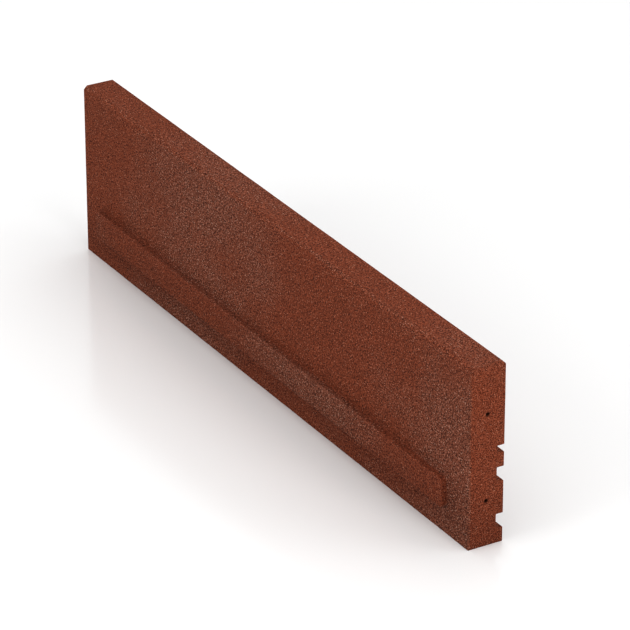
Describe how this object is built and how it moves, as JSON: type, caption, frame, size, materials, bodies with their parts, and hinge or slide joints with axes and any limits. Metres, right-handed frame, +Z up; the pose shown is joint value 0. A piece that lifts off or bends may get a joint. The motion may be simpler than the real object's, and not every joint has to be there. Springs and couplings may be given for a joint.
{
  "type": "rubber edging kerb",
  "caption": "Upright rubber edging kerb with a raised front pad, back grooves that key into concrete, bevelled top edges and sliding plastic dowels in one end.",
  "frame": {"origin": "middle of the slab's base, at mid-length and mid-thickness of the slab without its pad", "axes": "+X along the kerb, from the end that holds the dowels to the end that takes a neighbour's; -Y out of the front, where the pad is; +Z up"},
  "size_m": [1, 0.06, 0.25],
  "materials": {
    "rubber_granulate": "matte",
    "dowel_plastic": "satin"
  },
  "bodies": {
    "kerb": {"kerb_body": "rubber_granulate"},
    "dowel_lower": {"connecting_dowel_lower": "dowel_plastic"},
    "dowel_upper": {"connecting_dowel_upper": "dowel_plastic"}
  },
  "joints": [
    {"name": "dowel_lower_slide", "type": "slide", "parent": "kerb", "child": "dowel_lower", "axis": [-1, 0, 0], "range_m": [0, 0.04]},
    {"name": "dowel_upper_slide", "type": "slide", "parent": "kerb", "child": "dowel_upper", "axis": [-1, 0, 0], "range_m": [0, 0.04]}
  ]
}
